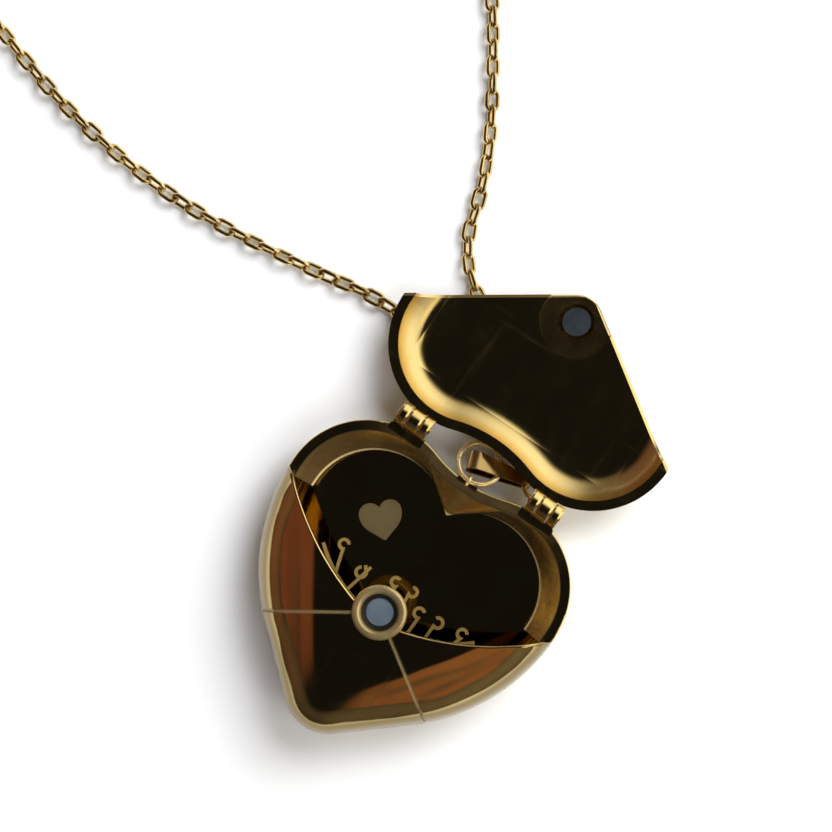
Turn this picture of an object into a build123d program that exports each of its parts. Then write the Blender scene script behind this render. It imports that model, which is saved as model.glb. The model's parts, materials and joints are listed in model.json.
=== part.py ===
"""Heart-shaped envelope locket on a cable chain, lying open on its back.

Units are millimetres, +Z is up and the tip of the heart points along -Y.  The back rests on z = 0 and
the lid is swung fully open.  Outlines are drawn from the hinge axis, which runs along X: in them y = 0 is
the axis, and heights are measured from the plane where the case and the lid part.
"""
import os
from math import acos, asin, atan2, degrees, hypot, pi, radians, sqrt, tan

from build123d import *

# Overall shape of the heart
HALF_WIDTH = 13.5
LOBE_GAP = 0.85             # from the hinge axis to the top of the lobes
HEART_TIP = 26.75           # from the hinge axis to the tip
NOTCH_DEPTH = 0.95
LOBE_R = 7.6
SIDE_R = 17.2
TIP_R = 3.9

# Heights and thicknesses
HINGE_Z = 5.0               # the parting plane, above the table
PARTING_GAP = 0.06
FLOOR_Z = 0.8
WALL = 0.85                 # side wall, seen as a flat ledge round the lobes
SHEET = 0.55
BACK_EDGE = 1.3
LEDGE_EDGE = 0.15
POCKET_RISE = 2.4
POCKET_EDGE = 2.2
LID_RISE = 3.1
LID_EDGE = 2.6

# Inner bezel: a slope from the ledge down to a cusped heart-shaped lip
BEZEL_TOP = -0.08
BEZEL_BOTTOM = -2.4
BEZEL_LIP = 0.25
BEZEL_RIM = 0.1
BEZEL_END = -9.6
LIP_HEART = dict(lobe_x=4.85, lobe_top=-2.95, lobe_r=6.15, notch=2.25, side_r=14.5, tip_r=2.0, tip=24.3)

# Pocket mouth, from the boss out to each side, and the two envelope seams
MOUTH_MIDDLE = (2.0, -15.25)
MOUTH_BEND = (7.3, -13.15)
MOUTH_SIDE = (12.6, -9.35)
MOUTH_END = (14.0, -8.75)
MOUTH_ROUND = 0.2
SEAM_ANGLE = 56.5
SEAM_WIDTH = 0.3
SEAM_DEPTH = 0.12

# Magnets, at one distance from the hinge on both sides
MAGNET_Y = -14.9
MAGNET_R = 1.2
BOSS_R = 2.35
BOSS_SHANK_R = 1.9
BOSS_MOUTH_R = 1.62
BOSS_BOTTOM = 0.6
BOSS_SEAT = 0.01            # the lip stands this far clear of the pocket
BOSS_MOUTH_RISE = 0.14
LIP_MIDDLE = (2.02, 0.36)   # highest point of the rolled lip, above the pocket
MAGNET_SEAT = 1.1
MAGNET_TOP = 2.12
MAGNET_FIT = 0.02
MAGNET_EDGE = 0.08
CUP_BORE_R = 1.55
CUP_SHANK_R = 1.85
PAD_R = 3.2
PAD_DEPTH = 0.28
BUTTON_RISE = 0.8
LID_MAGNET_R = 1.25
LID_MAGNET_DEPTH = 0.15
BUTTON_EDGE = 0.4

# Lid flap
FLAP_CORNER = (13.9, -8.35)
FLAP_TIP_R = 2.35
FLAP_ROUND = 0.15

# Hinges
HINGE_X = 6.65
BARREL_R = 1.0
PIN_R = 0.3
PIN_FIT = 0.03
KNUCKLE_OUTER = 0.85
KNUCKLE_MIDDLE = 1.2
KNUCKLE_GAP = 0.06
PLATE_BACK = -1.68
PLATE_FRONT = -1.1
PLATE_LOW = -1.58
PLATE_TOP = -0.1
PLATE_MARGIN = 0.15         # how far a case plate passes its outer knuckles on each side
PIN_HEAD = 0.1
CUT_OUT_MARGIN = 0.02
BARREL_CLEARANCE = 0.08

# Lid
LID_SHEET = 0.6
BUTTON_R = 2.3
CUP_DEPTH = 0.75

# Raised ornaments on the floor
ORNAMENT_RISE = 0.25
SCROLL_WIDTH = 0.28
VINE = [(-7.6, -13.3), (0.0, -16.2), (8.2, -13.1)]
# each curl: centre x and y, radius, start angle, swept angle and the foot of its stem on the vine
CURLS = [
    (-6.0, -12.4, 0.42, 30, 260, (-5.2, -15.0)),
    (-3.4, -13.6, 0.45, 120, 280, (-3.6, -15.6)),
    (-0.4, -12.6, 0.4, 60, 240, (-0.7, -16.3)),
    (1.3, -12.5, 0.4, 120, -240, (1.5, -16.3)),
    (2.8, -13.7, 0.45, 40, 250, (2.9, -15.9)),
    (4.6, -13.5, 0.45, 140, -250, (4.4, -15.6)),
    (6.9, -13.1, 0.42, 30, 250, (6.6, -14.6)),
]

# Rings and bail in the notch
RING_CENTRE = (-0.05, 0.1, -1.8)
RING_R = 1.87
RING_WIRE_R = 0.23
RING_TILT = -23
EYELET_CENTRE = (0, -1.68, -1.1)
EYELET_R = 0.5
EYELET_WIRE_R = 0.15
BAIL_CROSSING = (1.8, 0.45, -2.0)
BAIL_TURN = 12
BAIL_SLOPE = 20
BAIL_BACK = -3.1
BAIL_FRONT = 2.35
BAIL_SHEET = 0.27
BAIL_BACK_R = 0.8
BAIL_FRONT_R = 0.55
BAIL_WIDE = 1.8
BAIL_NARROW = 0.8
RING_SPLIT = 0.06
SPLIT_ANGLE = 200
CHAIN_RING_R = 1.15
CHAIN_RING_WIRE_R = 0.2

# Cable chain, treated as a cord of the chain's outer diameter
CHAIN_D = 1.5
CHAIN_RIDE = CHAIN_D / 2
STRAND_LENGTH = 205
COIL_OUTER_R = 10.5
COIL_PITCH = 1.55


# Lobster clasp inside the left coil, end ring inside the right one
FITTING_GAP = 0.05
CLASP_Z = 1.0
CLASP_THICK = 1.5
HOOK_Y = 1.5
HOOK_R = 1.9
HOOK_WIRE = 0.7
TAIL_R = 1.15
GATE_LOW = -0.3
GATE_HIGH = 2.5
PIVOT = (0.75, -0.75)
THUMB = (1.7, -1.0)
THUMB_R = 0.45
LEVER_THICK = 0.7
LEVER_FIT = 0.08
LEVER_HUB_R = 0.6
CLASP_PIN_R = 0.25
SPRING_R = 0.38
SPRING_WIRE_R = 0.08
SPRING_RECESS = 0.25
EYE_R = 0.5
EYE_WIRE_R = 0.17
EYE_OUT = 0.35
CLASP_RING_R = 1.0
END_RING_R = 1.9
END_RING_WIRE_R = 0.3

# The hinge axis stands off the middle of the open locket
FLAP_REACH = FLAP_TIP_R - MAGNET_Y
HINGE_Y = (HEART_TIP - FLAP_REACH) / 2

CHAIN_LEFT = [
    (3.9, 7.5, 0.95),
    (0.5, 9.0, CHAIN_RIDE),
    (-6.5, 11.0, CHAIN_RIDE),
    (-14.5, 12.1, CHAIN_RIDE),
    (-22.9, 10.4, CHAIN_RIDE),
    (-34.8, 8.9, CHAIN_RIDE),
    (-46.8, 10.0, CHAIN_RIDE),
    (-56.9, 12.9, CHAIN_RIDE),
    (-64.0, 15.6, CHAIN_RIDE),
]
CHAIN_RIGHT = [
    (5.5, 7.8, 0.95),
    (4.5, 11.0, CHAIN_RIDE),
    (0.5, 14.2, CHAIN_RIDE),
    (-4.8, 15.3, CHAIN_RIDE),
    (-9.1, 17.0, CHAIN_RIDE),
    (-12.1, 20.4, CHAIN_RIDE),
    (-13.0, 23.9, CHAIN_RIDE),
    (-14.9, 28.4, CHAIN_RIDE),
    (-17.9, 33.3, CHAIN_RIDE),
    (-21.8, 39.1, CHAIN_RIDE),
    (-28.8, 47.6, CHAIN_RIDE),
]

os.makedirs("parts", exist_ok=True)


def finish(part, name):
    """Label a finished piece and write it out."""
    part.label = name
    export_step(part, f"parts/{name}.step")


def case_plane(height=0.0):
    """Drawing plane of the case, at a height above the parting plane."""
    return Plane((0, HINGE_Y, HINGE_Z + height))


def lid_plane(height=0.0):
    """The same plane for the lid, swung half a turn about the hinge."""
    return Plane((0, HINGE_Y, HINGE_Z - height), x_dir=(1, 0, 0), z_dir=(0, 0, -1))


def heart(inset=0.0, lobe_x=HALF_WIDTH - LOBE_R, lobe_top=-LOBE_GAP, lobe_r=LOBE_R, notch=NOTCH_DEPTH,
          side_r=SIDE_R, tip_r=TIP_R, tip=HEART_TIP):
    """Heart of tangent arcs: a notch, two lobes, two long sides and a rounded tip."""
    lobe_y = lobe_top - lobe_r
    drop = lobe_r - notch
    notch_r = (lobe_x**2 + drop**2 - lobe_r**2) / (2 * notch)
    notch_y = lobe_top - notch + notch_r
    blend = degrees(atan2(lobe_y - notch_y, lobe_x))
    side_x = lobe_x + lobe_r - side_r
    tip_y = tip_r - tip
    away = hypot(side_x, lobe_y - tip_y)
    slope = degrees(atan2(lobe_y - tip_y, side_x) - acos((tip_r - side_r) / away))
    with BuildSketch(Plane.XY, mode=Mode.PRIVATE) as outline:
        with BuildLine():
            CenterArc((0, notch_y), notch_r, -90, blend + 90)
            CenterArc((lobe_x, lobe_y), lobe_r, blend + 180, -blend - 180)
            side = CenterArc((side_x, lobe_y), side_r, 0, slope)
            point = CenterArc((0, tip_y), tip_r, slope, -90 - slope)
            Line(side @ 1, point @ 0)
            mirror(about=Plane.YZ)
        make_face()
        if inset:
            offset(amount=-inset)
    return outline.sketch


def dome(plane, inset, rise, edge):
    """Solid heart cushion standing on a plane, with a rounded upper edge."""
    with BuildPart(mode=Mode.PRIVATE) as cushion:
        with BuildSketch(plane):
            add(heart(inset))
        extrude(amount=rise)
        top = cushion.faces().sort_by(Axis(plane.origin, plane.z_dir))[-1]
        fillet(top.edges(), radius=edge)
    return cushion.part


def ring(centre, radius, wire_r, tilt_x=0.0, tilt_y=0.0):
    """Round wire ring about a centre given from the hinge axis, tilted about X and then Y."""
    place = case_plane() * Location(centre, (tilt_x, tilt_y, 0))
    with BuildPart(mode=Mode.PRIVATE) as hoop:
        with Locations(Location(place)):
            Torus(radius, wire_r)
    return hoop.part


# ---------------------------------------------------------------------------- case

with BuildPart() as case_eyelet:
    with Locations(case_plane() * Location(EYELET_CENTRE, (0, 90, 0))):
        Torus(EYELET_R, EYELET_WIRE_R)
finish(case_eyelet.part, "case_eyelet")

HINGE_HALF = KNUCKLE_MIDDLE / 2 + KNUCKLE_GAP + KNUCKLE_OUTER
CUT_DEEP = abs(PLATE_BACK)
RELIEF = (2.0, 0.5, 1.8)

with BuildPart() as back_shell:
    with BuildSketch(Plane((0, HINGE_Y, 0))):
        add(heart())
    extrude(amount=HINGE_Z)
    fillet(back_shell.faces().sort_by(Axis.Z)[0].edges(), radius=BACK_EDGE)
    fillet(back_shell.faces().sort_by(Axis.Z)[-1].edges(), radius=LEDGE_EDGE)
    with BuildSketch(Plane((0, HINGE_Y, FLOOR_Z))):
        add(heart(WALL))
    extrude(amount=HINGE_Z, mode=Mode.SUBTRACT)
    # hinge cut-outs in the lobes, open at the top
    with BuildSketch(case_plane(PLATE_LOW - CUT_OUT_MARGIN)):
        with Locations((-HINGE_X, -CUT_DEEP / 2), (HINGE_X, -CUT_DEEP / 2)):
            Rectangle(2 * (HINGE_HALF + PLATE_MARGIN + CUT_OUT_MARGIN), CUT_DEEP + 2 * CUT_OUT_MARGIN)
    extrude(amount=HINGE_Z, mode=Mode.SUBTRACT)
    # relief for the jump ring and seat of its eyelet
    with Locations(case_plane() * Location((0, -1.85, 0))):
        Box(*RELIEF, align=(Align.CENTER, Align.CENTER, Align.MAX), mode=Mode.SUBTRACT)
    add(case_eyelet.part, mode=Mode.SUBTRACT)
finish(back_shell.part, "back_shell")

with BuildPart() as bezel_slope:
    with BuildSketch(case_plane(BEZEL_BOTTOM)):
        add(heart(**LIP_HEART))
    with BuildSketch(case_plane(BEZEL_TOP)):
        add(heart(WALL + BEZEL_RIM))
    loft(ruled=True)

with BuildPart() as inner_bezel:
    with BuildSketch(case_plane(BEZEL_BOTTOM - BEZEL_LIP)):
        add(heart(WALL + CUT_OUT_MARGIN))
    extrude(amount=BEZEL_TOP - BEZEL_BOTTOM + BEZEL_LIP)
    with BuildSketch(case_plane(BEZEL_BOTTOM - BEZEL_LIP)):
        add(heart(**LIP_HEART))
    extrude(amount=BEZEL_LIP, mode=Mode.SUBTRACT)
    add(bezel_slope.part, mode=Mode.SUBTRACT)
    with BuildSketch(case_plane(-HINGE_Z)):
        with Locations((0, BEZEL_END)):
            Rectangle(4 * HALF_WIDTH, 2 * HEART_TIP, align=(Align.CENTER, Align.MAX))
    extrude(amount=2 * HINGE_Z, mode=Mode.SUBTRACT)
finish(inner_bezel.part, "inner_bezel")

with BuildPart() as pocket_seams:
    with BuildSketch(case_plane(-1)):
        for side in (-1, 1):
            with Locations(Location((0, MAGNET_Y, 0), (0, 0, -90 + side * SEAM_ANGLE))):
                Rectangle(HEART_TIP, SEAM_WIDTH, align=(Align.MIN, Align.CENTER))
    extrude(amount=2 * POCKET_RISE)
    add(dome(case_plane(-2), SEAM_DEPTH, POCKET_RISE - SEAM_DEPTH + 2, POCKET_EDGE - SEAM_DEPTH),
        mode=Mode.SUBTRACT)

with BuildPart() as pocket_front:
    add(dome(case_plane(), 0, POCKET_RISE, POCKET_EDGE))
    with BuildSketch(case_plane(-1)):
        with BuildLine():
            ThreePointArc(MOUTH_MIDDLE, MOUTH_BEND, MOUTH_SIDE)
            Polyline(MOUTH_SIDE, MOUTH_END, (MOUTH_END[0], 1), (0, 1))
            Line(MOUTH_MIDDLE, (0, MOUTH_MIDDLE[1]))
            mirror(about=Plane.YZ)
        make_face()
    extrude(amount=2 * POCKET_RISE, mode=Mode.SUBTRACT)
    mouth_edges = pocket_front.edges(Select.LAST).filter_by(lambda e: (e @ 0.5).Z > HINGE_Z + MOUTH_ROUND)
    fillet(mouth_edges, radius=MOUTH_ROUND)
    add(dome(case_plane(), SHEET, POCKET_RISE - SHEET, POCKET_EDGE - SHEET), mode=Mode.SUBTRACT)
    with BuildSketch(case_plane(-1)):
        with Locations((0, MAGNET_Y)):
            Circle(BOSS_SHANK_R + CUT_OUT_MARGIN)
    extrude(amount=2 * POCKET_RISE, mode=Mode.SUBTRACT)
    add(pocket_seams.part, mode=Mode.SUBTRACT)
finish(pocket_front.part, "pocket_front")

BOSS_MOUTH = POCKET_RISE + BOSS_MOUTH_RISE
LIP_BOTTOM = POCKET_RISE + BOSS_SEAT
AT_MAGNET = Plane((0, HINGE_Y + MAGNET_Y, HINGE_Z), x_dir=(1, 0, 0), z_dir=(0, -1, 0))

with BuildPart() as magnet_boss:
    with BuildSketch(AT_MAGNET):
        with BuildLine():
            Polyline((BOSS_MOUTH_R, BOSS_MOUTH), (MAGNET_R + MAGNET_FIT, MAGNET_TOP),
                     (MAGNET_R + MAGNET_FIT, MAGNET_SEAT), (0, MAGNET_SEAT), (0, BOSS_BOTTOM),
                     (BOSS_SHANK_R, BOSS_BOTTOM), (BOSS_SHANK_R, LIP_BOTTOM), (BOSS_R, LIP_BOTTOM))
            ThreePointArc((BOSS_R, LIP_BOTTOM), (LIP_MIDDLE[0], POCKET_RISE + LIP_MIDDLE[1]),
                          (BOSS_MOUTH_R, BOSS_MOUTH))
        make_face()
    revolve(axis=Axis(AT_MAGNET.origin, (0, 0, 1)))
finish(magnet_boss.part, "magnet_boss")

with BuildPart() as case_magnet:
    with BuildSketch(case_plane(MAGNET_SEAT)):
        with Locations((0, MAGNET_Y)):
            Circle(MAGNET_R)
    extrude(amount=MAGNET_TOP - MAGNET_SEAT - MAGNET_FIT)
    chamfer(case_magnet.faces().sort_by(Axis.Z)[-1].edges(), length=MAGNET_EDGE)
finish(case_magnet.part, "case_magnet")

# ---------------------------------------------------------------------------- ornaments on the floor

with BuildPart() as floor_heart:
    with BuildSketch(Plane((0, HINGE_Y, FLOOR_Z))):
        with Locations(Location((-5.15, -8.15, 0), (0, 0, 45))):
            add(heart(lobe_x=0.9, lobe_top=0.7, lobe_r=1.0, notch=0.5, side_r=1.9, tip_r=0.15, tip=2.75))
    extrude(amount=ORNAMENT_RISE)
    chamfer(floor_heart.faces().sort_by(Axis.Z)[-1].edges(), length=0.06)
finish(floor_heart.part, "floor_heart")


def curl(x, y, radius, start, sweep_angle, foot):
    """One open curl of a scroll, with a straight stem from it down to its foot."""
    loop = CenterArc((x, y), radius, start, sweep_angle)
    Line(loop @ 1, foot)


with BuildPart() as floor_scroll:
    with BuildSketch(Plane((0, HINGE_Y, FLOOR_Z))):
        with BuildLine():
            ThreePointArc(*VINE)
            for x, y, radius, start, sweep_angle, foot in CURLS:
                curl(x, y, radius, start, sweep_angle, foot)
        trace(line_width=SCROLL_WIDTH)
    extrude(amount=ORNAMENT_RISE)
finish(floor_scroll.part, "floor_scroll")

# ---------------------------------------------------------------------------- hinges


def hinge_plane(x, side):
    """Cross-section plane of a hinge at x; side is 1 for the case and -1 for the lid."""
    return Plane((x, HINGE_Y, HINGE_Z), x_dir=(0, side, 0), z_dir=(side, 0, 0))


def hinge_part(x, side, spans, plate_half):
    """Knuckles over the given spans of x, with webs to one plate set in the wall."""
    with BuildPart(mode=Mode.PRIVATE) as leaf:
        for start, end in spans:
            with BuildSketch(hinge_plane(x + start, side)):
                Circle(BARREL_R)
                with Locations((PLATE_FRONT / 2 - 0.15, (PLATE_TOP - BARREL_R) / 2)):
                    Rectangle(-PLATE_FRONT + 0.3, BARREL_R + PLATE_TOP)
            extrude(amount=side * (end - start))
        with BuildSketch(hinge_plane(x - plate_half, side)):
            with Locations(((PLATE_BACK + PLATE_FRONT) / 2, (PLATE_LOW + PLATE_TOP) / 2)):
                Rectangle(PLATE_FRONT - PLATE_BACK, PLATE_TOP - PLATE_LOW)
        extrude(amount=side * 2 * plate_half)
        with Locations(Plane((x, HINGE_Y, HINGE_Z), z_dir=(1, 0, 0))):
            Cylinder(PIN_R + PIN_FIT, 4 * HINGE_HALF, mode=Mode.SUBTRACT)
    return leaf.part


INNER_HALF = KNUCKLE_MIDDLE / 2
OUTER_SPANS = [(-HINGE_HALF, -INNER_HALF - KNUCKLE_GAP), (INNER_HALF + KNUCKLE_GAP, HINGE_HALF)]
for side_name, hinge_x in (("left", -HINGE_X), ("right", HINGE_X)):
    finish(hinge_part(hinge_x, 1, OUTER_SPANS, HINGE_HALF + PLATE_MARGIN), f"hinge_bracket_{side_name}")
    finish(hinge_part(hinge_x, -1, [(-INNER_HALF, INNER_HALF)], INNER_HALF), f"hinge_leaf_{side_name}")
    with BuildPart() as hinge_pin:
        with BuildSketch(hinge_plane(hinge_x - HINGE_HALF - PIN_HEAD, 1)):
            Circle(PIN_R)
        extrude(amount=2 * (HINGE_HALF + PIN_HEAD))
        fillet(hinge_pin.edges(), radius=0.1)
    finish(hinge_pin.part, f"hinge_pin_{side_name}")

# ---------------------------------------------------------------------------- lid

LID_INNER = PARTING_GAP + LID_RISE - LID_SHEET
PAD_LEVEL = LID_INNER + PAD_DEPTH
flap_away = hypot(FLAP_CORNER[0], FLAP_CORNER[1] - MAGNET_Y)
FLAP_SLOPE = degrees(atan2(FLAP_CORNER[1] - MAGNET_Y, FLAP_CORNER[0]) + asin(FLAP_TIP_R / flap_away))

with BuildPart() as lid_shell:
    add(dome(lid_plane(PARTING_GAP), 0, LID_RISE, LID_EDGE))
    add(dome(lid_plane(PARTING_GAP), WALL, LID_RISE - LID_SHEET, LID_EDGE - 0.25), mode=Mode.SUBTRACT)
    with BuildSketch(lid_plane(-1)):
        with BuildLine():
            tip_arc = CenterArc((0, MAGNET_Y), FLAP_TIP_R, FLAP_SLOPE - 90, -FLAP_SLOPE)
            Polyline(tip_arc @ 0, FLAP_CORNER, (FLAP_CORNER[0], 1), (0, 1))
            mirror(about=Plane.YZ)
        make_face()
    extrude(amount=3 * LID_RISE, mode=Mode.INTERSECT)
    # shallow round pad about the magnet, and the hole for its cup
    with BuildSketch(lid_plane(LID_INNER - 1)):
        with Locations((0, MAGNET_Y)):
            Circle(PAD_R)
    extrude(amount=1 + PAD_DEPTH, mode=Mode.SUBTRACT)
    with BuildSketch(lid_plane(LID_INNER - 1)):
        with Locations((0, MAGNET_Y)):
            Circle(CUP_SHANK_R)
    extrude(amount=3, mode=Mode.SUBTRACT)
    # rounded inner edges of the flap, straight sides and tip
    inner_edges = lid_shell.edges().filter_by_position(Axis.Z, HINGE_Z - PAD_LEVEL, HINGE_Z - LID_INNER)
    sides = inner_edges.filter_by(lambda e: e.geom_type == GeomType.LINE and e.length > 2)
    arcs = inner_edges.filter_by(GeomType.CIRCLE)
    tip = arcs.filter_by(lambda e: abs(e.radius - FLAP_TIP_R) < CUT_OUT_MARGIN)
    fillet(sides + tip, radius=FLAP_ROUND)
    # cut-outs for the hinge leaves, open at the rim
    with BuildSketch(lid_plane(-1)):
        with Locations((-HINGE_X, -CUT_DEEP / 2), (HINGE_X, -CUT_DEEP / 2)):
            Rectangle(2 * (INNER_HALF + CUT_OUT_MARGIN), CUT_DEEP + 2 * CUT_OUT_MARGIN)
    extrude(amount=1 - PLATE_LOW + CUT_OUT_MARGIN, mode=Mode.SUBTRACT)
    # shallower notches that clear the case's knuckles
    with BuildSketch(lid_plane(-1)):
        with Locations((-HINGE_X, 0), (HINGE_X, 0)):
            Rectangle(2 * (HINGE_HALF + BARREL_CLEARANCE), 2 * (BARREL_R + BARREL_CLEARANCE))
    extrude(amount=1 + BARREL_R + BARREL_CLEARANCE, mode=Mode.SUBTRACT)
finish(lid_shell.part, "lid_shell")

LID_OUTER = PARTING_GAP + LID_RISE

with BuildPart() as lid_magnet_cup:
    with BuildSketch(lid_plane(LID_OUTER)):
        with Locations((0, MAGNET_Y)):
            Circle(BUTTON_R)
    extrude(amount=BUTTON_RISE)
    fillet(lid_magnet_cup.faces().sort_by(Axis.Z)[0].edges(), radius=BUTTON_EDGE)
    with BuildSketch(lid_plane(PAD_LEVEL)):
        with Locations((0, MAGNET_Y)):
            Circle(CUP_SHANK_R)
    extrude(amount=LID_OUTER - PAD_LEVEL)
    with BuildSketch(lid_plane(PAD_LEVEL)):
        with Locations((0, MAGNET_Y)):
            Circle(CUP_BORE_R)
    extrude(amount=CUP_DEPTH, mode=Mode.SUBTRACT)
finish(lid_magnet_cup.part, "lid_magnet_cup")

with BuildPart() as lid_magnet:
    with BuildSketch(lid_plane(PAD_LEVEL + LID_MAGNET_DEPTH)):
        with Locations((0, MAGNET_Y)):
            Circle(LID_MAGNET_R)
    extrude(amount=CUP_DEPTH - LID_MAGNET_DEPTH)
    chamfer(lid_magnet.faces().sort_by(Axis.Z)[-1].edges(), length=MAGNET_EDGE)
finish(lid_magnet.part, "lid_magnet")

# ---------------------------------------------------------------------------- ring and bail

with BuildPart() as jump_ring:
    add(ring(RING_CENTRE, RING_R, RING_WIRE_R, RING_TILT))
    with Locations(case_plane() * Location(RING_CENTRE, (RING_TILT, 0, 0)) * Rotation(0, 0, SPLIT_ANGLE)):
        Box(2 * RING_R, RING_SPLIT, 1, align=(Align.MIN, Align.CENTER, Align.CENTER), mode=Mode.SUBTRACT)
finish(jump_ring.part, "jump_ring")

BAIL_HEADING = case_plane() * Location(BAIL_CROSSING, (0, 0, BAIL_TURN))
BAIL_FRAME = BAIL_HEADING * Location((0, 0, 0), (0, BAIL_SLOPE, 0)) * Location((0, 0, 0), (RING_TILT, 0, 0))
BAIL_PLANE = Plane(BAIL_FRAME)
BAIL_SIDE = Plane(BAIL_PLANE.origin, x_dir=BAIL_PLANE.x_dir, z_dir=-BAIL_PLANE.y_dir)

with BuildPart() as bail:
    with BuildSketch(BAIL_SIDE):
        with Locations((BAIL_BACK + BAIL_BACK_R, 0)):
            Circle(BAIL_BACK_R)
        with Locations((BAIL_FRONT, 0)):
            Circle(BAIL_FRONT_R)
        make_hull()
        offset(amount=-BAIL_SHEET, mode=Mode.SUBTRACT)
    extrude(amount=2, both=True)
    with BuildSketch(BAIL_PLANE.offset(-2)):
        Polygon((BAIL_BACK - 1, -BAIL_WIDE / 2), (BAIL_FRONT + 1, -BAIL_NARROW / 2),
                (BAIL_FRONT + 1, BAIL_NARROW / 2), (BAIL_BACK - 1, BAIL_WIDE / 2), align=None)
    extrude(amount=4, mode=Mode.INTERSECT)
finish(bail.part, "bail")

CHAIN_RING_AT = BAIL_PLANE.from_local_coords((BAIL_FRONT + CHAIN_RING_R, 0, 0))
with BuildPart() as chain_ring:
    with Locations(Plane(CHAIN_RING_AT, x_dir=BAIL_PLANE.x_dir, z_dir=BAIL_PLANE.z_dir)):
        Torus(CHAIN_RING_R, CHAIN_RING_WIRE_R)
finish(chain_ring.part, "chain_ring")

# ---------------------------------------------------------------------------- chain


def bend_radii(route):
    """Largest radius that each corner's two runs allow."""
    points = [Vector(*p) for p in route]
    radii = []
    for before, corner, after in zip(points, points[1:], points[2:]):
        half_turn = radians((corner - before).get_angle(after - corner)) / 2
        run = min((corner - before).length, (after - corner).length)
        radii.append(0.45 * run / tan(half_turn))
    return radii


def coil_centre(route, side):
    """Centre of the coil that a route runs into, on its left (1) or right (-1)."""
    last = Vector(*route[-1])
    heading = (last - Vector(*route[-2])).normalized()
    return last + heading.rotate(Axis.Z, side * 90) * COIL_OUTER_R


def coil_turns(length):
    """Turns of a flat spiral of the given length, wound inward from the coil's outer radius."""
    return (COIL_OUTER_R - sqrt(COIL_OUTER_R**2 - COIL_PITCH * length / pi)) / COIL_PITCH


def coil_end(route, side, turns, radius):
    """Point at a radius inside a coil, beside the end of its inner turn."""
    centre = coil_centre(route, side)
    start = Vector(*route[-1]) - centre
    return centre + start.normalized().rotate(Axis.Z, side * 360 * turns) * radius


for chain_name, route, side in (("chain_left", CHAIN_LEFT, 1), ("chain_right", CHAIN_RIGHT, -1)):
    radii = bend_radii(route)
    centre = coil_centre(route, side)
    with BuildPart() as strand:
        with BuildLine() as path:
            FilletPolyline(*route, radius=radii)
        with BuildSketch(Plane(origin=path.line @ 0, z_dir=path.line % 0)):
            Circle(CHAIN_D / 2)
        sweep()
        tube_volume = strand.part.volume
        # the tube stops at the outside of its coil
        with BuildSketch(Plane((centre.X, centre.Y, -CHAIN_D))):
            Circle(COIL_OUTER_R + CHAIN_RIDE)
        extrude(amount=4 * CHAIN_D, mode=Mode.SUBTRACT)
    finish(strand.part, chain_name)
    visible = path.wires()[0].length
    turns = coil_turns(STRAND_LENGTH - visible)
    print(chain_name, "radii", [round(r, 1) for r in radii])
    print(f"  run {visible:.1f} mm, volume {tube_volume:.1f} of {visible * pi * CHAIN_D**2 / 4:.1f}")
    print(f"  coil at {centre.X:.2f}, {centre.Y:.2f}, turns {turns:.2f}")

    with BuildPart() as coil:
        with BuildSketch(Plane((centre.X, centre.Y, 0))):
            Circle(COIL_OUTER_R + CHAIN_RIDE)
            Circle(COIL_OUTER_R - turns * COIL_PITCH - CHAIN_RIDE, mode=Mode.SUBTRACT)
        extrude(amount=CHAIN_D)
    finish(coil.part, f"{chain_name}_coil")

    # the strand's last fitting lies just inside the inner turn
    fitting_r = COIL_OUTER_R - turns * COIL_PITCH - CHAIN_RIDE - FITTING_GAP
    if chain_name == "chain_left":
        clasp_ring_at = coil_end(route, side, turns, fitting_r - CLASP_RING_R - EYE_WIRE_R)
        clasp_heading = (centre - clasp_ring_at).normalized()
    else:
        end_ring_at = coil_end(route, side, turns, fitting_r - END_RING_R - END_RING_WIRE_R)

# ---------------------------------------------------------------------------- clasp and end ring

EYE_Y = -HOOK_Y - TAIL_R - EYE_OUT
CLASP_AT = clasp_ring_at + clasp_heading * (CLASP_RING_R - EYE_Y)
CLASP_PLANE = Plane((CLASP_AT.X, CLASP_AT.Y, CLASP_Z), x_dir=clasp_heading.rotate(Axis.Z, -90))


def clasp_outline():
    """Outside of the lobster clasp, long axis along +Y of its own plane."""
    with BuildSketch(Plane.XY, mode=Mode.PRIVATE) as outline:
        with Locations((0, HOOK_Y)):
            Circle(HOOK_R)
        with Locations((0, -HOOK_Y)):
            Circle(TAIL_R)
        make_hull()
    return outline.sketch


def clasp_opening():
    """Space inside the hook."""
    with BuildSketch(Plane.XY, mode=Mode.PRIVATE) as space:
        with Locations((0, HOOK_Y)):
            Circle(HOOK_R - HOOK_WIRE)
        with Locations((-0.1, 0.4)):
            Circle(0.75)
        make_hull()
    return space.sketch


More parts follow.
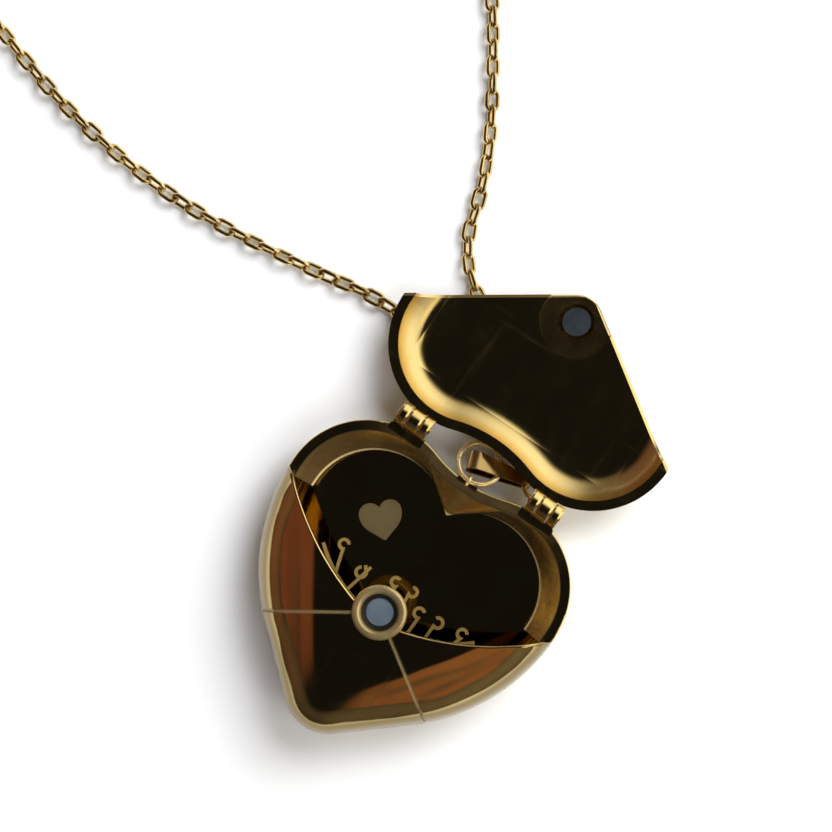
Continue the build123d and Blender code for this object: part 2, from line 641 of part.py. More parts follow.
with BuildPart() as clasp_body:
    with BuildSketch(CLASP_PLANE.offset(-CLASP_THICK / 2)):
        add(clasp_outline())
        add(clasp_opening(), mode=Mode.SUBTRACT)
    extrude(amount=CLASP_THICK)
    chamfer(clasp_body.faces().filter_by(Axis.Z).edges(), length=0.12)
    # open side of the hook, and the slot in which the lever turns
    with BuildSketch(CLASP_PLANE.offset(-CLASP_THICK)):
        with Locations((0.5, GATE_LOW)):
            Rectangle(3, GATE_HIGH - GATE_LOW, align=Align.MIN)
    extrude(amount=2 * CLASP_THICK, mode=Mode.SUBTRACT)
    with BuildSketch(CLASP_PLANE.offset(-LEVER_THICK / 2 - LEVER_FIT)):
        with Locations((-0.35, PIVOT[1] - 0.85)):
            Rectangle(3.5, 3, align=Align.MIN)
    extrude(amount=LEVER_THICK + 2 * LEVER_FIT, mode=Mode.SUBTRACT)
    with BuildSketch(CLASP_PLANE.offset(-CLASP_THICK)):
        with Locations(PIVOT):
            Circle(CLASP_PIN_R)
    extrude(amount=2 * CLASP_THICK, mode=Mode.SUBTRACT)
    # swivel eye on the tail
    with Locations(CLASP_PLANE * Location((0, EYE_Y, 0), (0, 90, 0))):
        Torus(EYE_R, EYE_WIRE_R)
finish(clasp_body.part, "clasp_body")

with BuildPart() as clasp_lever:
    with BuildSketch(CLASP_PLANE.offset(-LEVER_THICK / 2)):
        add(clasp_outline())
        add(clasp_opening(), mode=Mode.SUBTRACT)
        with Locations((0.5 + LEVER_FIT, GATE_LOW)):
            Rectangle(3, GATE_HIGH - GATE_LOW - LEVER_FIT, align=Align.MIN, mode=Mode.INTERSECT)
        with Locations(PIVOT):
            Circle(LEVER_HUB_R)
        with Locations(THUMB):
            Circle(THUMB_R)
        with Locations(PIVOT):
            Circle(CLASP_PIN_R + LEVER_FIT, mode=Mode.SUBTRACT)
    extrude(amount=LEVER_THICK)
    # recess in the hub for the spring
    with BuildSketch(CLASP_PLANE.offset(LEVER_THICK / 2 - SPRING_RECESS)):
        with Locations(PIVOT):
            Circle(SPRING_R + 2 * SPRING_WIRE_R)
    extrude(amount=SPRING_RECESS, mode=Mode.SUBTRACT)
finish(clasp_lever.part, "clasp_lever")

with BuildPart() as clasp_spring:
    with Locations(CLASP_PLANE * Location((*PIVOT, LEVER_THICK / 2 - SPRING_RECESS / 2))):
        Torus(SPRING_R, SPRING_WIRE_R)
finish(clasp_spring.part, "clasp_spring")

with BuildPart() as clasp_pin:
    with BuildSketch(CLASP_PLANE.offset(-CLASP_THICK / 2)):
        with Locations(PIVOT):
            Circle(CLASP_PIN_R)
    extrude(amount=CLASP_THICK)
finish(clasp_pin.part, "clasp_pin")

with BuildPart() as clasp_ring:
    with Locations(CLASP_PLANE * Location((0, EYE_Y - CLASP_RING_R, -0.1))):
        Torus(CLASP_RING_R, EYE_WIRE_R)
finish(clasp_ring.part, "clasp_ring")

with BuildPart() as end_ring:
    with Locations(Plane((end_ring_at.X, end_ring_at.Y, CHAIN_RIDE))):
        Torus(END_RING_R, END_RING_WIRE_R)
finish(end_ring.part, "end_ring")
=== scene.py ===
"""Heart-shaped envelope locket lying open on its back, with two strands of cable chain.

Lengths are in metres in the CAD model's own frame: +Z up, the tip of the heart along -Y.
"""
import json
import math
import random

import bmesh
import bpy
from mathutils import Matrix, Vector


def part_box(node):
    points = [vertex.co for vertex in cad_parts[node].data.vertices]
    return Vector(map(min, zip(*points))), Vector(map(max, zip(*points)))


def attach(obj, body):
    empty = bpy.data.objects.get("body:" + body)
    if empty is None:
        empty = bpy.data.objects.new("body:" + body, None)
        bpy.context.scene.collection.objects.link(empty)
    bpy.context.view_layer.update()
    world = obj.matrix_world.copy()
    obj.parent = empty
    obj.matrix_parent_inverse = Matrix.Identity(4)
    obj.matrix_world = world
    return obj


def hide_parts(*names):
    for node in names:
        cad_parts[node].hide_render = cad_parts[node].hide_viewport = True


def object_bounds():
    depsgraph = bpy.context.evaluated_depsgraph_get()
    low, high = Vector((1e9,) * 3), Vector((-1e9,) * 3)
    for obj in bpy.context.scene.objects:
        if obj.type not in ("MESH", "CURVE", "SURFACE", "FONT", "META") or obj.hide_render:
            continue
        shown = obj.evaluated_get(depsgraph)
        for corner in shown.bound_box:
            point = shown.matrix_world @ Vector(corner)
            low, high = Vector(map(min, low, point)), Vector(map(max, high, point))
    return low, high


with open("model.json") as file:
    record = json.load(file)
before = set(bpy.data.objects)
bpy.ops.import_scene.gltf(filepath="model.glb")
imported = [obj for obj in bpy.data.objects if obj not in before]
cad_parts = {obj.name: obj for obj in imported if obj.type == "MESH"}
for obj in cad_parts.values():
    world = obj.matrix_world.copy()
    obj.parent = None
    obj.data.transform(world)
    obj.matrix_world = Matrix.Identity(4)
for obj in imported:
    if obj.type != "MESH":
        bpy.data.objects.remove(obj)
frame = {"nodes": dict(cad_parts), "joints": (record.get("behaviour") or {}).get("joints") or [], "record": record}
CAD_LOW, CAD_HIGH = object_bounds()
NODES = frame["nodes"]
SCENE = bpy.context.scene
JOINTS = {joint["name"]: joint for joint in frame["joints"]}
HINGE = Vector(JOINTS["lid_hinge"]["pos_m"])
MM = 0.001
random.seed(7)

# ------------------------------------------------------------------ camera

EYE = HINGE + Vector((3.0, 3.0, 165.0)) * MM
AIM = HINGE + Vector((-6.8, 0.45, 0.0)) * MM
HEART_LEAN = math.radians(34)       # how far the heart's axis leans in the frame
LENS = 84.0
SENSOR_WIDTH = 36.0
CLIP_START = 0.002
CLIP_END = 5.0


def add_camera():
    """Camera almost straight above, turned so that the heart leans to the right."""
    forward = (AIM - EYE).normalized()
    upward = Vector((-math.sin(HEART_LEAN), math.cos(HEART_LEAN), 0))
    right = forward.cross(upward).normalized()
    upward = right.cross(forward)
    camera = bpy.data.objects.new("camera", bpy.data.cameras.new("camera"))
    camera.data.lens = LENS
    camera.data.sensor_width = SENSOR_WIDTH
    camera.data.clip_start = CLIP_START
    camera.data.clip_end = CLIP_END
    turn = Matrix((right, upward, -forward)).transposed().to_4x4()
    camera.matrix_world = Matrix.Translation(EYE) @ turn
    SCENE.collection.objects.link(camera)
    SCENE.camera = camera


add_camera()

# ------------------------------------------------------------------ chain

CHAIN_D = 0.0015
CHAIN_RIDE = CHAIN_D / 2
STRAND_LENGTH = 0.205
COIL_OUTER_R = 0.0105
COIL_PITCH = 0.00155
POINTS_PER_TURN = 16
END_PULL = 0.3                      # how far a coil's last point moves towards its fitting
CURVE_STEPS = 16
LINK_PITCH = 1.46 * MM
LINK_WIRE_R = 0.22 * MM
LINK_HALF_WIDTH = 0.51 * MM
LINK_HALF_STRAIGHT = 0.38 * MM
LINK_LEAN = 30                      # degrees that the links lean from flat and from upright
LINK_SLACK = 14                     # degrees that a link may roll either way from that
CHAIN_LEFT = [
    (0.0039, 0.0075, 0.00095),
    (0.0005, 0.0090, CHAIN_RIDE),
    (-0.0065, 0.0110, CHAIN_RIDE),
    (-0.0145, 0.0121, CHAIN_RIDE),
    (-0.0229, 0.0104, CHAIN_RIDE),
    (-0.0348, 0.0089, CHAIN_RIDE),
    (-0.0468, 0.0100, CHAIN_RIDE),
    (-0.0569, 0.0129, CHAIN_RIDE),
    (-0.0640, 0.0156, CHAIN_RIDE),
]
CHAIN_RIGHT = [
    (0.0055, 0.0078, 0.00095),
    (0.0045, 0.0110, CHAIN_RIDE),
    (0.0005, 0.0142, CHAIN_RIDE),
    (-0.0048, 0.0153, CHAIN_RIDE),
    (-0.0091, 0.0170, CHAIN_RIDE),
    (-0.0121, 0.0204, CHAIN_RIDE),
    (-0.0130, 0.0239, CHAIN_RIDE),
    (-0.0149, 0.0284, CHAIN_RIDE),
    (-0.0179, 0.0333, CHAIN_RIDE),
    (-0.0218, 0.0391, CHAIN_RIDE),
    (-0.0288, 0.0476, CHAIN_RIDE),
]


def coil_points(route, side, length, fitting):
    """Points of the flat spiral that takes up the rest of a strand, ending beside its fitting."""
    last = Vector(route[-1])
    heading = (last - Vector(route[-2])).normalized()
    centre = last + Matrix.Rotation(side * math.pi / 2, 3, "Z") @ heading * COIL_OUTER_R
    radius_left = COIL_OUTER_R**2 - COIL_PITCH * length / math.pi
    turns = (COIL_OUTER_R - math.sqrt(radius_left)) / COIL_PITCH
    spoke = (last - centre).normalized()
    count = round(turns * POINTS_PER_TURN)
    points = []
    for step in range(1, count + 1):
        done = turns * step / count
        radius = COIL_OUTER_R - COIL_PITCH * done
        arm = Matrix.Rotation(side * 2 * math.pi * done, 3, "Z") @ spoke * radius
        points.append(centre + arm)
    low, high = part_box(fitting)
    points[-1] = points[-1].lerp(Vector((*((low + high) / 2).xy, CHAIN_RIDE)), END_PULL)
    return [tuple(point) for point in points]


def smooth_line(name, points):
    """Points along the NURBS spline of a route."""
    data = bpy.data.curves.new(name, "CURVE")
    data.dimensions = "3D"
    data.resolution_u = CURVE_STEPS
    spline = data.splines.new("NURBS")
    spline.points.add(len(points) - 1)
    for point, place in zip(spline.points, points):
        point.co = (*place, 1)
    spline.order_u = 3
    spline.use_endpoint_u = True
    curve = bpy.data.objects.new(name, data)
    SCENE.collection.objects.link(curve)
    line = bpy.data.meshes.new_from_object(curve)
    path = [vertex.co.copy() for vertex in line.vertices]
    bpy.data.objects.remove(curve)
    return path


def even_steps(path, pitch):
    """Places and directions a pitch apart along a line of points."""
    travelled = [0.0]
    for a, b in zip(path, path[1:]):
        travelled.append(travelled[-1] + (b - a).length)
    steps = []
    segment = 0
    for number in range(int(travelled[-1] / pitch) + 1):
        want = number * pitch
        while travelled[segment + 1] < want:
            segment += 1
        span = travelled[segment + 1] - travelled[segment]
        share = (want - travelled[segment]) / span
        place = path[segment].lerp(path[segment + 1], share)
        steps.append((place, (path[segment + 1] - path[segment]).normalized()))
    return steps


def link_loop(points_round=20):
    """Centre line of one oval link, long axis along X, in its own plane."""
    loop = []
    for step in range(points_round):
        angle = 2 * math.pi * (step + 0.5) / points_round
        x = LINK_HALF_WIDTH * math.cos(angle)
        shift = math.copysign(LINK_HALF_STRAIGHT, x)
        loop.append((Vector((x + shift, LINK_HALF_WIDTH * math.sin(angle), 0)),
                     Vector((math.cos(angle), math.sin(angle), 0))))
    return loop


def add_link(mesh, place, heading, roll, sides=8):
    """One link of round wire, threaded along the heading and rolled about it."""
    across = heading.cross(Vector((0, 0, 1))).normalized()
    turn = Matrix((heading, across, heading.cross(across))).transposed()
    turn = Matrix.Rotation(roll, 3, heading) @ turn
    rings = []
    for centre, outward in link_loop():
        section = []
        for step in range(sides):
            angle = 2 * math.pi * step / sides
            offset = (outward * math.cos(angle) + Vector((0, 0, math.sin(angle)))) * LINK_WIRE_R
            section.append(mesh.verts.new(place + turn @ (centre + offset)))
        rings.append(section)
    for first, second in zip(rings, rings[1:] + rings[:1]):
        for step in range(sides):
            after = (step + 1) % sides
            face = mesh.faces.new((first[step], first[after], second[after], second[step]))
            face.smooth = True


def cable_chain(name, path):
    """Strand of links along a path, every other one turned on its edge."""
    mesh = bmesh.new()
    for number, (place, heading) in enumerate(even_steps(path, LINK_PITCH)):
        roll = math.radians(LINK_LEAN + 90 * (number % 2) + random.uniform(-LINK_SLACK, LINK_SLACK))
        add_link(mesh, place, heading, roll)
    bmesh.ops.recalc_face_normals(mesh, faces=mesh.faces)
    data = bpy.data.meshes.new(name)
    mesh.to_mesh(data)
    mesh.free()
    strand = bpy.data.objects.new(name, data)
    SCENE.collection.objects.link(strand)
    return strand


def line_length(path):
    """Length of a line of points."""
    return sum((b - a).length for a, b in zip(path, path[1:]))


def add_strand(side_name, route, side, fitting):
    """One strand of chain from the locket's ring to its fitting, as links along its route."""
    lead = line_length(smooth_line("lead", route))
    points = route + coil_points(route, side, STRAND_LENGTH - lead, fitting)
    path = smooth_line(f"route_{side_name}", points)
    strand = cable_chain(f"cable_chain_{side_name}", path)
    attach(strand, "case")
    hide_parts(f"chain_{side_name}", f"chain_{side_name}_coil")
    return strand


STRANDS = [
    add_strand("left", CHAIN_LEFT, 1, "clasp_ring"),
    add_strand("right", CHAIN_RIGHT, -1, "end_ring"),
]

# ------------------------------------------------------------------ materials

PALE_GOLD = (0.88, 0.70, 0.33)
DEEP_GOLD = (0.62, 0.43, 0.17)
# Paler gold of the rubbed places and of the painted sheen and highlights
WEAR_AND_SHEEN_GOLD = (0.86, 0.69, 0.37)

# Scales of the noises that vary the metal, and what they do to its surface
CLOUD_SCALE = 260
SMEAR_SCALE = 600
SCRATCH_SCALES = (900, 1100)
WAVE_SCALE = 180
GRAIN_SCALE = 9000
SCUFF_SCALE = 700
MAGNET_GRAIN_SCALE = 5000
UNEVENNESS = 4e-6                   # heights in metres
FINE_GRAIN = 2e-6
SCRATCH_DEPTH = 1e-6
MAGNET_GRAIN = 1e-5
SCRATCH_AMOUNT = 0.5
SCRATCH_ROUGHNESS = 0.18
SATIN_ROUGHNESS = 0.3

# Ledge of the case: heights over which it begins, and distances from the middle over which its paler, rougher tone
# fades
LEDGE_RISE = (HINGE.z - 0.4 * MM, HINGE.z - 0.2 * MM)
LEDGE_FADE = (7 * MM, 11 * MM)
LEDGE_LEAST = 0.25

# Pocket: its seams, its swelling away from the mouth and the painted shade on the foot of its sides
CASE_MAGNET = sum(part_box("case_magnet"), Vector()) / 2
SEAM_ANGLE = math.radians(56.5)
SEAM_EDGE = (0.09 * MM, 0.19 * MM)
SEAM_WEAR = 0.7
SEAM_START = 0.5 * MM
POCKET_LEAN = math.radians(32.5)
POCKET_SOFT = 2 * MM
CROWN_FROM = 10.8 * MM
CROWN_TO = 4.2 * MM
CROWN = 5000.0
RIPPLES = 1.9e-4
RIPPLE_SCALE = 420
RIPPLE_DETAIL = 1.5
RIPPLE_STRETCH = 0.12
# Heights over which the painted shade on the pocket's sides sets in
FOOT_RISE = (HINGE.z + 2.3 * MM, HINGE.z + 1.9 * MM)

# Lid: the slope along its flap's straight sides, the rise of its lobes, the painted sheen of its cove and its
# magnet's pad
LID_MAGNET = sum(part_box("lid_magnet"), Vector()) / 2
FLAP_SLOPE = math.radians(34.03)
FLAP_AWAY = 14.7 * MM
SLOPE_WIDTH = 0.24 * MM
SLOPE_DEPTH = 0.2 * MM
LOBE_OUT = 8.0 * MM
LOBE_BACK = 6.6 * MM
LOBE_RISE = 8000.0
RISE_TO = 2.4 * MM
LID_FLAT = HINGE.z - 2.56 * MM
# Heights of the lid's cove, which is given a painted sheen
COVE_FOOT = (LID_FLAT + 0.05 * MM, LID_FLAT + 0.3 * MM)
COVE_SHEEN = 0.5
COVE_TOP = (HINGE.z - 0.5 * MM, HINGE.z - 0.2 * MM)
PAD_EDGE = (3.1 * MM, 3.5 * MM)
PAD_WEAR = 0.2

# Magnet's cup with its painted shade, hinges, and the bezel with the painted highlight on its lip
# Radii over which the painted shade inside the magnet's cup sets in
CUP_EDGE = (1.66 * MM, 1.52 * MM)
HINGE_X = 6.65 * MM
KNUCKLE_ENDS = (0.63 * MM, 1.51 * MM)
KNUCKLE_EDGE = (0.03 * MM, 0.2 * MM)
KNUCKLE_DROP = 0.07 * MM
BARREL_EDGE = (0.9 * MM, 1.0 * MM)
# Heights of the painted highlight along the bezel's lower lip
LIP_EDGE = (HINGE.z - 2.12 * MM, HINGE.z - 2.25 * MM)


class Recipe:
    """A node material being put together round one Principled shader."""

    def __init__(self, name, metallic=1.0):
        self.material = bpy.data.materials.new(name)
        self.material.use_nodes = True
        self.tree = self.material.node_tree
        self.shader = self.tree.nodes["Principled BSDF"]
        self.shader.inputs["Metallic"].default_value = metallic
        self.place = self.tree.nodes.new("ShaderNodeTexCoord").outputs["Object"]

    def node(self, kind, inputs=(), **settings):
        """A new node with its settings, and its inputs linked or set."""
        made = self.tree.nodes.new(kind)
        for key, value in settings.items():
            setattr(made, key, value)
        for key, value in dict(inputs).items():
            if hasattr(value, "is_linked"):
                self.tree.links.new(value, made.inputs[key])
            else:
                made.inputs[key].default_value = value
        return made

    def noise(self, scale, detail=4, roughness=0.6, stretch=(1, 1, 1), turn=0.0):
        """Noise over the object's own space, stretched along its axes and turned about Z."""
        mapping = self.node("ShaderNodeMapping", {"Vector": self.place, "Scale": stretch,
                                                  "Rotation": (0, 0, turn)})
        texture = self.node("ShaderNodeTexNoise", {"Vector": mapping.outputs[0], "Scale": scale,
                                                   "Detail": detail, "Roughness": roughness})
        return texture.outputs["Fac"]

    def ramp(self, value, low, high, start, end):
        """Value carried from the range low to high to the range start to end, and held there."""
        made = self.node("ShaderNodeMapRange", {"Value": value, "From Min": low, "From Max": high,
                                                "To Min": start, "To Max": end})
        return made.outputs["Result"]

    def math(self, operation, a, b):
        return self.node("ShaderNodeMath", {0: a, 1: b}, operation=operation).outputs[0]

    def add(self, a, b):
        return self.math("ADD", a, b)

    def less(self, a, b):
        return self.math("SUBTRACT", a, b)

    def times(self, a, b):
        return self.math("MULTIPLY", a, b)

    def size(self, a):
        """A value without its sign."""
        return self.math("ABSOLUTE", a, 0)

    def held(self, a, top):
        """A value kept between zero and the top."""
        return self.math("MINIMUM", self.math("MAXIMUM", a, 0), top)

    def mix(self, factor, a, b):
        """Two colours blended."""
        made = self.node("ShaderNodeMix", {"Factor": factor, "A": a, "B": b}, data_type="RGBA")
        return made.outputs["Result"]

    def axes(self):
        """X, Y and Z of the shaded point."""
        return self.node("ShaderNodeSeparateXYZ", {0: self.place}).outputs

    def link(self, output, name):
        """Feed one of the shader's inputs."""
        self.tree.links.new(output, self.shader.inputs[name])

    def bump(self, height, strength, distance):
        """Relief of the surface from a height."""
        made = self.node("ShaderNodeBump", {"Height": height, "Strength": strength,
                                            "Distance": distance})
        self.link(made.outputs[0], "Normal")


def scratches(recipe, amount):
    """Fine straight scratches in two directions, as a value from 0 to the amount."""
    first, second = SCRATCH_SCALES
    one_way = recipe.ramp(recipe.noise(first, 3, 0.6, (1, 0.05, 1), 0.5), 0.62, 0.72, 0, amount)
    other_way = recipe.ramp(recipe.noise(second, 3, 0.6, (0.06, 1, 1), 0.3), 0.63, 0.72, 0, amount)
    return recipe.math("MAXIMUM", one_way, other_way)


def gold(name, colour, tarnish, rough, grain=0.0, wear_and_sheen=None, crown=None, dark=None,
         painted_shade_tone=(0.27, 0.20, 0.09), metallic=1.0, wear_and_sheen_dulling=0.0):
    """Gold plate: tarnish in soft clouds, fine scratches and a slightly uneven surface.

    rough: least and greatest roughness of the clean metal.
    grain: how much of the fine grain the surface has.
    wear_and_sheen: function of the recipe that gives a mask of the places that are rougher and paler: the rubbed
    places, and the places of painted sheen and painted highlights.
    wear_and_sheen_dulling: how much of the metal's shine those paler places lose.
    crown: function of the recipe that gives a height in metres for a gentle swelling of the sheet.
    dark: function of the recipe that gives a mask of the places in painted shade, which take the painted shade
    tone.
    """
    recipe = Recipe(name, metallic)
    clouds = recipe.ramp(recipe.noise(CLOUD_SCALE, 5, 0.65), 0.42, 0.7, 0, 1)
    tone = recipe.mix(clouds, (*colour, 1), (*tarnish, 1))
    marks = scratches(recipe, SCRATCH_AMOUNT)
    smear = recipe.ramp(recipe.noise(SMEAR_SCALE, 4, 0.7, (1, 0.5, 1), 0.9), 0.35, 0.75, *rough)
    roughness = recipe.add(smear, recipe.times(marks, SCRATCH_ROUGHNESS))
    if wear_and_sheen:
        mask = wear_and_sheen(recipe)
        tone = recipe.mix(mask, tone, (*WEAR_AND_SHEEN_GOLD, 1))
        roughness = recipe.add(roughness, recipe.times(mask, SATIN_ROUGHNESS))
        if wear_and_sheen_dulling:
            recipe.link(recipe.less(metallic, recipe.times(mask, wear_and_sheen_dulling)), "Metallic")
    if dark:
        # Painted shade: the tone darkens where the dark mask is set
        tone = recipe.mix(dark(recipe), tone, (*painted_shade_tone, 1))
    recipe.link(tone, "Base Color")
    recipe.link(roughness, "Roughness")
    unevenness = recipe.times(recipe.noise(WAVE_SCALE, 2, 0.5), UNEVENNESS)
    fine = recipe.times(recipe.noise(GRAIN_SCALE, 3, 0.7), grain * FINE_GRAIN)
    relief = recipe.add(recipe.add(unevenness, fine), recipe.times(marks, -SCRATCH_DEPTH))
    if crown:
        relief = recipe.add(relief, crown(recipe))
    recipe.bump(relief, 1, 1)
    return recipe.material


def ledge_mask(recipe):
    """Paler, rougher ledge round the case, most of all near the notch."""
    x, _, z = recipe.axes()
    high = recipe.ramp(z, *LEDGE_RISE, 0, 1)
    return recipe.times(high, recipe.ramp(recipe.size(x), *LEDGE_FADE, 1, LEDGE_LEAST))


def seam_mask(recipe):
    """Worn envelope seams on the pocket, from the magnet to the sides."""
    x, y, _ = recipe.axes()
    along = recipe.times(recipe.size(x), math.cos(SEAM_ANGLE))
    down = recipe.times(recipe.less(y, CASE_MAGNET.y), math.sin(SEAM_ANGLE))
    away = recipe.size(recipe.add(along, down))
    below = recipe.ramp(y, CASE_MAGNET.y, CASE_MAGNET.y - SEAM_START, 0, 1)
    return recipe.times(recipe.ramp(away, *SEAM_EDGE, SEAM_WEAR, 0), below)


def pocket_crown(recipe):
    """Swelling of the pocket, which falls away faster and faster towards its two long sides."""
    x, y, _ = recipe.axes()
    smooth_x = recipe.math("SQRT", recipe.add(recipe.times(x, x), POCKET_SOFT**2), 0)
    across = recipe.times(smooth_x, math.cos(POCKET_LEAN))
    down = recipe.times(recipe.less(HINGE.y, y), math.sin(POCKET_LEAN))
    outward = recipe.less(recipe.add(across, down), CROWN_FROM)
    beyond = recipe.math("MAXIMUM", recipe.less(outward, CROWN_TO), 0)
    fall = recipe.add(recipe.math("POWER", recipe.held(outward, CROWN_TO), 3),
                      recipe.times(beyond, 3 * CROWN_TO**2))
    along = recipe.times(recipe.add(x, y), RIPPLE_STRETCH)
    grid = recipe.node("ShaderNodeCombineXYZ", {0: outward, 1: along}).outputs[0]
    ripples = recipe.node("ShaderNodeTexNoise", {"Vector": grid, "Scale": RIPPLE_SCALE,
                                                 "Detail": RIPPLE_DETAIL}).outputs["Fac"]
    return recipe.add(recipe.times(fall, -CROWN), recipe.times(ripples, RIPPLES))


def foot_painted_shade(recipe):
    """Painted shade on the lower part of the pocket's rounded sides."""
    return recipe.ramp(recipe.axes()[2], *FOOT_RISE, 0, 1)


def flap_edge(recipe):
    """Distance inside the flap's straight sides."""
    x, y, _ = recipe.axes()
    across = recipe.times(recipe.size(x), math.sin(FLAP_SLOPE))
    up = recipe.times(recipe.less(y, HINGE.y), math.cos(FLAP_SLOPE))
    return recipe.less(FLAP_AWAY, recipe.add(across, up))


def flap_crown(recipe):
    """Burnished slope along the flap's straight sides, and a soft rise towards its lobes."""
    x, y, _ = recipe.axes()
    outward = recipe.less(recipe.size(x), LOBE_OUT)
    back = recipe.less(HINGE.y + LOBE_BACK, y)
    bands = [recipe.math("POWER", recipe.held(reach, RISE_TO), 3) for reach in (outward, back)]
    slope = recipe.ramp(flap_edge(recipe), 0, SLOPE_WIDTH, -SLOPE_DEPTH, 0)
    return recipe.add(recipe.times(recipe.add(*bands), LOBE_RISE), slope)


def lid_mask(recipe):
    """Worn round pad about the lid's magnet, and a painted pale sheen on the cove inside its rim."""
    away = recipe.node("ShaderNodeVectorMath", {0: recipe.place, 1: LID_MAGNET}, operation="DISTANCE")
    pad = recipe.ramp(away.outputs["Value"], *PAD_EDGE, PAD_WEAR, 0)
    z = recipe.axes()[2]
    cove = recipe.times(recipe.ramp(z, *COVE_FOOT, 0, COVE_SHEEN), recipe.ramp(z, *COVE_TOP, 1, 0))
    return recipe.math("MAXIMUM", pad, cove)


def cup_painted_shade(recipe):
    """Painted shade inside the magnet's cup, round the magnet."""
    offset = recipe.node("ShaderNodeVectorMath", {0: recipe.place, 1: CASE_MAGNET}, operation="SUBTRACT")
    flat = recipe.node("ShaderNodeVectorMath", {0: offset.outputs[0], 1: (1, 1, 0)}, operation="MULTIPLY")
    away = recipe.node("ShaderNodeVectorMath", {0: flat.outputs[0]}, operation="LENGTH")
    return recipe.ramp(away.outputs["Value"], *CUP_EDGE, 0, 1)


def knuckle_crown(recipe):
    """Rounded ends of the hinges' knuckles."""
    x, y, _ = recipe.axes()
    local = recipe.size(recipe.less(recipe.size(x), HINGE_X))
    ends = []
    for end in KNUCKLE_ENDS:
        away = recipe.size(recipe.less(local, end))
        ends.append(recipe.ramp(away, *KNUCKLE_EDGE, -KNUCKLE_DROP, 0))
    barrel = recipe.ramp(recipe.size(recipe.less(y, HINGE.y)), *BARREL_EDGE, 1, 0)
    return recipe.times(recipe.add(*ends), barrel)


def lip_painted_highlight(recipe):
    """Painted highlight along the bezel's lower lip, standing in for the light caught by a rounded edge."""
    return recipe.ramp(recipe.axes()[2], *LIP_EDGE, 0, 1)


def magnet_metal(name, rough, metallic, dark, pale):
    """Nickel-plated magnet face, blue-grey with a fine grain and scuffs."""
    recipe = Recipe(name, metallic)
    scuff = recipe.ramp(recipe.noise(SCUFF_SCALE, 3, 0.5), 0.35, 0.8, 0, 1)
    recipe.link(recipe.mix(scuff, (*dark, 1), (*pale, 1)), "Base Color")
    recipe.link(recipe.ramp(scuff, 0, 1, *rough), "Roughness")
    recipe.bump(recipe.noise(MAGNET_GRAIN_SCALE, 3, 0.7), 0.2, MAGNET_GRAIN)
    return recipe.material


MATERIALS = {
    "case_gold": gold("case_gold", PALE_GOLD, (0.78, 0.58, 0.28), (0.03, 0.1), wear_and_sheen=ledge_mask),
    "lid_gold": gold("lid_gold", PALE_GOLD, (0.80, 0.64, 0.32), (0.13, 0.2), wear_and_sheen=lid_mask,
                     crown=flap_crown),
    "bezel_gold": gold("bezel_gold", (0.52, 0.41, 0.20), (0.42, 0.31, 0.14), (0.2, 0.32),
                       wear_and_sheen=lip_painted_highlight, metallic=0.92, wear_and_sheen_dulling=0.6),
    "boss_gold": gold("boss_gold", (0.58, 0.46, 0.23), (0.42, 0.32, 0.15), (0.2, 0.3), dark=cup_painted_shade,
                      painted_shade_tone=(0.05, 0.04, 0.03), metallic=0.75),
    "ornament_gold": gold("ornament_gold", (0.13, 0.10, 0.045), (0.10, 0.075, 0.035), (0.42, 0.55),
                          grain=1.0, metallic=0.3),
    "wire_gold": gold("wire_gold", (0.95, 0.78, 0.43), (0.75, 0.54, 0.24), (0.12, 0.24), metallic=0.8),
    "bail_gold": gold("bail_gold", (0.48, 0.34, 0.17), (0.36, 0.23, 0.09), (0.14, 0.26)),
    "hinge_gold": gold("hinge_gold", PALE_GOLD, DEEP_GOLD, (0.12, 0.24), crown=knuckle_crown),
    "chain_gold": gold("chain_gold", (0.84, 0.67, 0.35), (0.5, 0.37, 0.17), (0.14, 0.28)),
    "clasp_gold": gold("clasp_gold", PALE_GOLD, DEEP_GOLD, (0.1, 0.22)),
    "magnet": magnet_metal("magnet_nickel", (0.3, 0.42), 0.4, (0.12, 0.165, 0.21), (0.17, 0.22, 0.27)),
    "pin_steel": gold("pin_steel", (0.6, 0.58, 0.55), (0.4, 0.36, 0.3), (0.2, 0.35)),
}
OWN_MATERIALS = {
    "pocket_front": gold("case_gold_pocket", PALE_GOLD, (0.80, 0.60, 0.30), (0.05, 0.14),
                         wear_and_sheen=seam_mask, crown=pocket_crown, dark=foot_painted_shade, wear_and_sheen_dulling=0.2),
    "floor_scroll": gold("ornament_gold_scroll", (0.42, 0.29, 0.09), (0.26, 0.17, 0.05), (0.24, 0.4),
                         grain=0.5, metallic=0.4),
    "lid_magnet_cup": gold("boss_gold_cup", DEEP_GOLD, (0.4, 0.28, 0.12), (0.24, 0.34)),
    "lid_magnet": magnet_metal("magnet_nickel_lid", (0.15, 0.25), 0.8, (0.10, 0.125, 0.16),
                               (0.16, 0.19, 0.23)),
}


def dress(obj, material):
    """Give a piece one material in all of its slots."""
    obj.data.materials.clear()
    obj.data.materials.append(material)


for part in frame["record"]["subparts"]:
    dress(NODES[part["node"]], OWN_MATERIALS.get(part["node"], MATERIALS[part["material_slot"]]))
for strand in STRANDS:
    dress(strand, MATERIALS["chain_gold"])

# ------------------------------------------------------------------ setting

FLOOR_HALF_WIDTH = 3.0
FLOOR_GAP = 0.02 * MM               # space between the locket's underside and the surface
FLOOR_WHITE = (0.87, 0.9, 0.95)
FLOOR_ROUGHNESS = 0.7
LIGHT_DISTANCE = 0.42
KEY_SIZE = 0.24
KEY_POWER = 1.85
FILL_SIZE = 0.3
FILL_POWER = 0.8

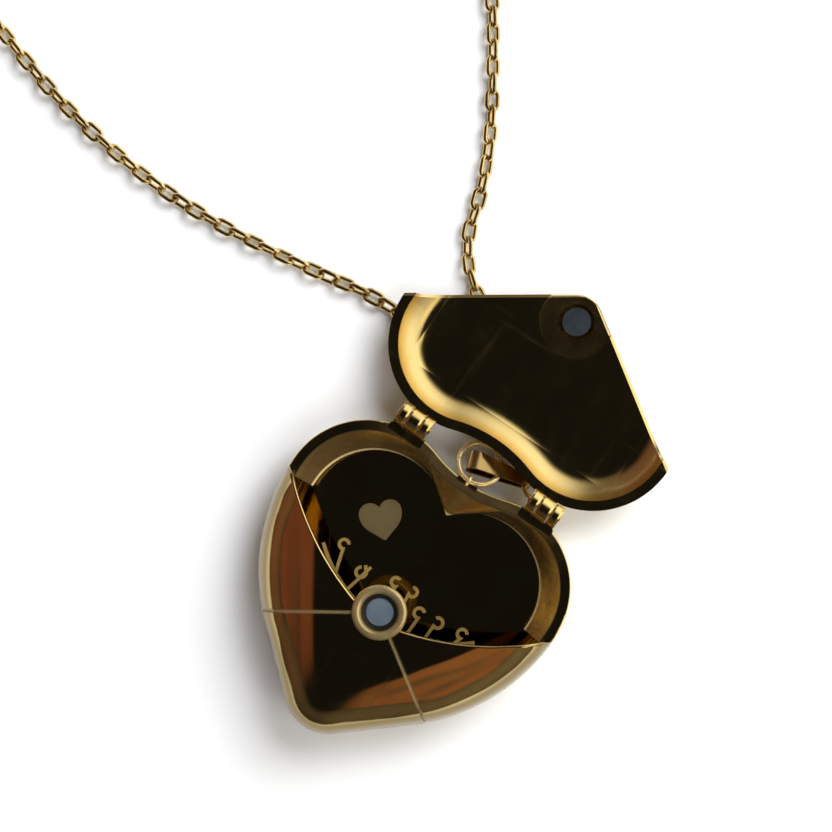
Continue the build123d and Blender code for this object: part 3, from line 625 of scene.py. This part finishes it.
# What the metal sees of the room: bearing and height of each patch, angles from its middle at which it
# begins and is full, and its colour; later patches lie over earlier ones
ROOM = (0.15, 0.12, 0.08)
WORLD_LOBES = [
    (-110, 25, 75, 30, (0.055, 0.042, 0.03)),
    (55, 12, 66, 26, (1.35, 1.27, 0.98)),
    (185, 12, 55, 22, (0.16, 0.075, 0.045)),
    (0, 90, 50, 20, (0.007, 0.007, 0.007)),
    (209, 60, 14, 6, (0.15, 0.05, 0.028)),
    (-30, 59, 14, 6, (0.24, 0.10, 0.045)),
    (8, 50, 16, 8, (1.2, 1.05, 0.7)),
]


def outward_at(bearing, height):
    """Unit vector at a bearing (degrees from +X) and a height (degrees above level)."""
    turn = Matrix.Rotation(math.radians(bearing), 3, "Z") @ Matrix.Rotation(math.radians(-height), 3, "Y")
    return turn @ Vector((1, 0, 0))


def add_floor():
    """Plain pale surface under the locket."""
    mesh = bmesh.new()
    bmesh.ops.create_grid(mesh, x_segments=1, y_segments=1, size=FLOOR_HALF_WIDTH)
    data = bpy.data.meshes.new("floor")
    mesh.to_mesh(data)
    mesh.free()
    floor = bpy.data.objects.new("floor", data)
    floor.location.z = CAD_LOW.z - FLOOR_GAP
    SCENE.collection.objects.link(floor)
    recipe = Recipe("floor_white", metallic=0)
    recipe.shader.inputs["Base Color"].default_value = (*FLOOR_WHITE, 1)
    recipe.shader.inputs["Roughness"].default_value = FLOOR_ROUGHNESS
    dress(floor, recipe.material)


def add_light(name, bearing, height, size, power):
    """Square area light that looks at the locket; the metal doesn't mirror it."""
    data = bpy.data.lights.new(name, "AREA")
    data.size = size
    data.energy = power
    lamp = bpy.data.objects.new(name, data)
    lamp.location = AIM + outward_at(bearing, height) * LIGHT_DISTANCE
    lamp.rotation_euler = (AIM - lamp.location).to_track_quat("-Z", "Y").to_euler()
    lamp.visible_glossy = False
    SCENE.collection.objects.link(lamp)


def add_world():
    """Room seen by the metal: dark overhead, a pale window side and red-brown patches to the sides."""
    world = bpy.data.worlds.new("room")
    world.use_nodes = True
    tree = world.node_tree
    links = tree.links
    direction = tree.nodes.new("ShaderNodeTexCoord").outputs["Generated"]
    colour = None
    for bearing, height, start, end, tint in WORLD_LOBES:
        nearness = tree.nodes.new("ShaderNodeVectorMath")
        nearness.operation = "DOT_PRODUCT"
        nearness.inputs[1].default_value = outward_at(bearing, height)
        links.new(direction, nearness.inputs[0])
        share = tree.nodes.new("ShaderNodeMapRange")
        share.interpolation_type = "SMOOTHSTEP"
        share.inputs["From Min"].default_value = math.cos(math.radians(start))
        share.inputs["From Max"].default_value = math.cos(math.radians(end))
        links.new(nearness.outputs["Value"], share.inputs["Value"])
        blend = tree.nodes.new("ShaderNodeMix")
        blend.data_type = "RGBA"
        blend.inputs["B"].default_value = (*tint, 1)
        links.new(share.outputs[0], blend.inputs["Factor"])
        if colour is None:
            blend.inputs["A"].default_value = (*ROOM, 1)
        else:
            links.new(colour, blend.inputs["A"])
        colour = blend.outputs["Result"]
    links.new(colour, tree.nodes["Background"].inputs["Color"])
    SCENE.world = world


add_floor()
add_light("key", 78, 50, KEY_SIZE, KEY_POWER)
add_light("fill", -20, 60, FILL_SIZE, FILL_POWER)
add_world()
SCENE.view_settings.view_transform = "Standard"
